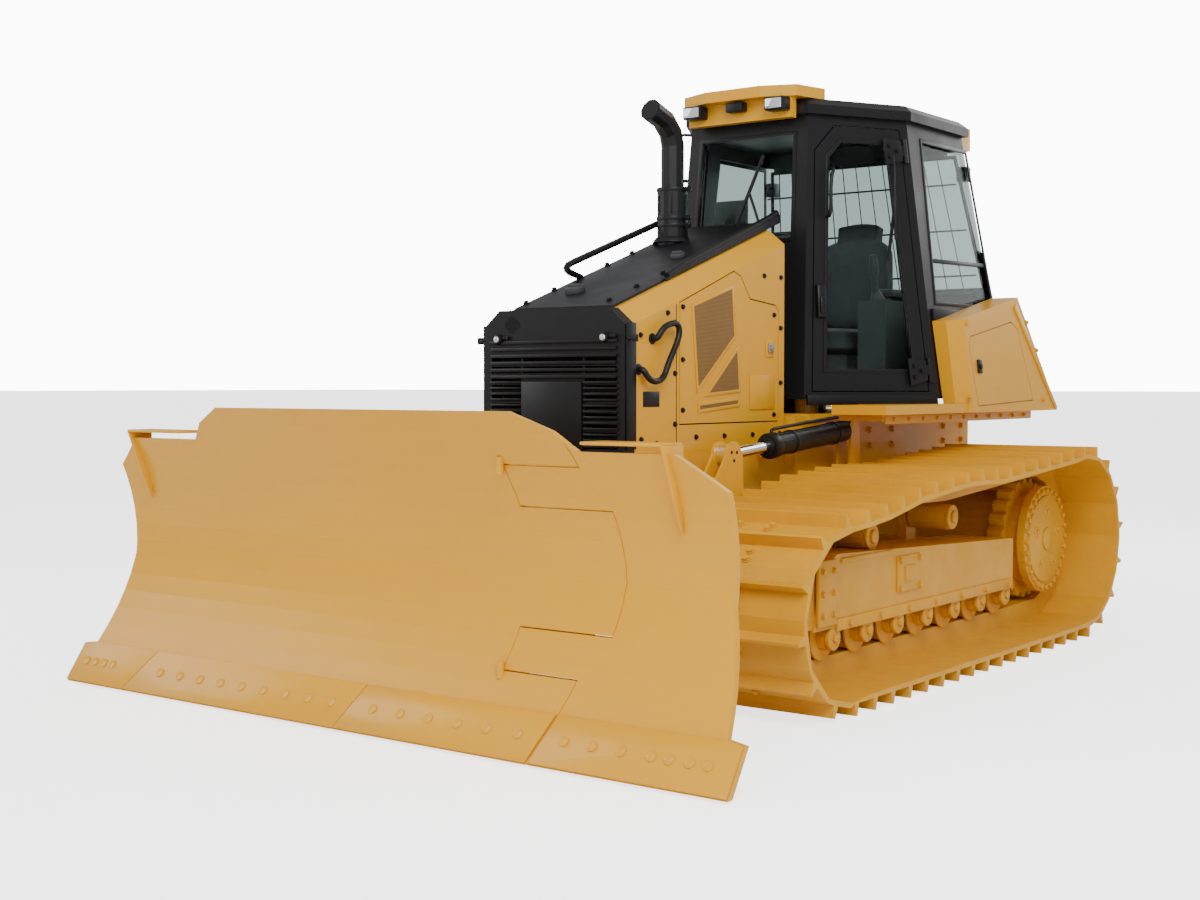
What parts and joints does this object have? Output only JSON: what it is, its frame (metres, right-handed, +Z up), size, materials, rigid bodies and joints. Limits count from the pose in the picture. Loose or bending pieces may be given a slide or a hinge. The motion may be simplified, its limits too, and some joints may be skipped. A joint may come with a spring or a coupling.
{
  "type": "bulldozer",
  "caption": "Crawler bulldozer with a wide angling blade on a push frame, an enclosed cab, a sloping hood with an exhaust stack and steel tracks",
  "frame": {"origin": "On the ground under the centre of the machine, at the middle of its box", "axes": "+X is the machine's left side, +Y its rear, -Y its front with the blade, +Z up"},
  "size_m": [3.4, 4.834, 2.7559],
  "materials": {
    "yellow": "satin yellow paint",
    "grey": "dark grey paint",
    "black": "black paint",
    "iron": "worn cast iron",
    "chrome": "polished rod",
    "glass": "pale green tint",
    "plastic": "moulded plastic",
    "cloth": "woven cover"
  },
  "bodies": {
    "tractor": {"track_left": "yellow", "track_right": "yellow", "track_frame_left": "yellow", "track_frame_right": "yellow", "sprocket_left": "yellow", "sprocket_right": "yellow", "main_frame": "yellow", "engine_block": "iron", "hood_shell": "yellow", "hood_top": "black", "front_mask": "grey", "exhaust_stack": "black", "cab_frame": "grey", "windshield": "glass", "rear_glass": "glass", "quarter_glass_left": "glass", "quarter_glass_right": "glass", "cab_roof": "grey", "roof_visor": "yellow", "rear_lamp_housing": "yellow", "cab_interior": "plastic", "seat": "cloth", "rear_box_left": "yellow", "rear_box_right": "yellow"},
    "c_frame": {"c_frame": "yellow"},
    "blade_swivel": {"blade_swivel": "yellow"},
    "blade": {"blade": "yellow"},
    "blade_wing": {"blade_wing": "yellow"},
    "cab_door_left": {"cab_door_left": "grey", "door_glass_left": "glass"},
    "cab_door_right": {"cab_door_right": "grey", "door_glass_right": "glass"},
    "engine_door_left": {"engine_door_left": "yellow"},
    "engine_door_right": {"engine_door_right": "yellow"},
    "box_door_left": {"box_door_left": "yellow"},
    "lift_left_barrel": {"lift_left_barrel": "black"},
    "lift_left_rod": {"lift_left_rod": "chrome"},
    "lift_right_barrel": {"lift_right_barrel": "black"},
    "lift_right_rod": {"lift_right_rod": "chrome"},
    "angle_left_barrel": {"angle_left_barrel": "black"},
    "angle_left_rod": {"angle_left_rod": "chrome"},
    "angle_right_barrel": {"angle_right_barrel": "black"},
    "angle_right_rod": {"angle_right_rod": "chrome"},
    "tilt_barrel": {"tilt_barrel": "black"},
    "tilt_rod": {"tilt_rod": "chrome"}
  },
  "joints": [
    {"name": "blade_lift", "type": "hinge", "parent": "tractor", "child": "c_frame", "pos_m": [0, 0.187, 0.43], "axis": [-1, 0, 0], "range_deg": [-11, 18]},
    {"name": "blade_angle", "type": "hinge", "parent": "c_frame", "child": "blade_swivel", "pos_m": [0, -1.883, 0.45], "axis": [0, 0, 1], "range_deg": [-25, 25]},
    {"name": "blade_tilt", "type": "hinge", "parent": "blade_swivel", "child": "blade", "pos_m": [0, -2.023, 0.45], "axis": [0, 1, 0], "range_deg": [-7, 7]},
    {"name": "blade_wing_fold", "type": "hinge", "parent": "blade", "child": "blade_wing", "pos_m": [0.64, -2.253, 0.45], "axis": [0, 0, -1], "range_deg": [0, 100]},
    {"name": "lift_left_barrel_pivot", "type": "hinge", "parent": "tractor", "child": "lift_left_barrel", "pos_m": [0.545, 0.467, 1.07], "axis": [-1, 0, 0], "range_deg": [-8.5, 13.5]},
    {"name": "lift_left_rod_slide", "type": "slide", "parent": "lift_left_barrel", "child": "lift_left_rod", "axis": [0, -0.997, -0.077], "range_m": [-0.2, 0.123]},
    {"name": "lift_right_barrel_pivot", "type": "hinge", "parent": "tractor", "child": "lift_right_barrel", "pos_m": [-0.545, 0.467, 1.07], "axis": [-1, 0, 0], "range_deg": [-8.5, 13.5]},
    {"name": "lift_right_rod_slide", "type": "slide", "parent": "lift_right_barrel", "child": "lift_right_rod", "axis": [0, -0.997, -0.077], "range_m": [-0.2, 0.123]},
    {"name": "angle_left_barrel_pivot", "type": "hinge", "parent": "c_frame", "child": "angle_left_barrel", "pos_m": [0.138, -1.663, 0.7], "axis": [0, 0, 1], "range_deg": [-26, 26]},
    {"name": "angle_left_rod_slide", "type": "slide", "parent": "angle_left_barrel", "child": "angle_left_rod", "axis": [0.849, -0.5284, 0], "range_m": [-0.112, 0.112]},
    {"name": "angle_right_barrel_pivot", "type": "hinge", "parent": "c_frame", "child": "angle_right_barrel", "pos_m": [-0.138, -1.663, 0.7], "axis": [0, 0, 1], "range_deg": [-26, 26]},
    {"name": "angle_right_rod_slide", "type": "slide", "parent": "angle_right_barrel", "child": "angle_right_rod", "axis": [-0.849, -0.5284, 0], "range_m": [-0.112, 0.112]},
    {"name": "tilt_barrel_pivot", "type": "hinge", "parent": "blade_swivel", "child": "tilt_barrel", "pos_m": [0, -1.975, 0.91], "axis": [0, 1, 0], "range_deg": [-7, 7]},
    {"name": "tilt_rod_slide", "type": "slide", "parent": "tilt_barrel", "child": "tilt_rod", "axis": [0.9997, 0, -0.0242], "range_m": [-0.057, 0.057]},
    {"name": "cab_door_left_hinge", "type": "hinge", "parent": "tractor", "child": "cab_door_left", "pos_m": [0.69904, 0.91346, 1.85118], "axis": [-0.1131, -0.0404, 0.9928], "range_deg": [0, 70]},
    {"name": "cab_door_right_hinge", "type": "hinge", "parent": "tractor", "child": "cab_door_right", "pos_m": [-0.69904, 0.91346, 1.85118], "axis": [-0.1131, 0.0404, -0.9928], "range_deg": [0, 70]},
    {"name": "engine_door_left_hinge", "type": "hinge", "parent": "tractor", "child": "engine_door_left", "pos_m": [0.385, -0.757, 1.3], "axis": [0, 0, -1], "range_deg": [0, 80]},
    {"name": "engine_door_right_hinge", "type": "hinge", "parent": "tractor", "child": "engine_door_right", "pos_m": [-0.385, -0.757, 1.3], "axis": [0, 0, 1], "range_deg": [0, 80]},
    {"name": "box_door_left_hinge", "type": "hinge", "parent": "tractor", "child": "box_door_left", "pos_m": [0.90653, 1.787, 1.39638], "axis": [-0.0891, -0.3417, 0.9356], "range_deg": [0, 75]}
  ],
  "couplings": [
    {"joint": "lift_left_barrel_pivot", "follows": "blade_lift", "ratio": 0.72375},
    {"joint": "lift_left_rod_slide", "follows": "blade_lift", "m_per_rad": -0.63119},
    {"joint": "lift_right_barrel_pivot", "follows": "blade_lift", "ratio": 0.72375},
    {"joint": "lift_right_rod_slide", "follows": "blade_lift", "m_per_rad": -0.63119},
    {"joint": "angle_left_barrel_pivot", "follows": "blade_angle", "ratio": 1.0142},
    {"joint": "angle_left_rod_slide", "follows": "blade_angle", "m_per_rad": -0.25433},
    {"joint": "angle_right_barrel_pivot", "follows": "blade_angle", "ratio": 1.0142},
    {"joint": "angle_right_rod_slide", "follows": "blade_angle", "m_per_rad": 0.25433},
    {"joint": "tilt_barrel_pivot", "follows": "blade_tilt", "ratio": 0.98463},
    {"joint": "tilt_rod_slide", "follows": "blade_tilt", "m_per_rad": 0.45917}
  ]
}
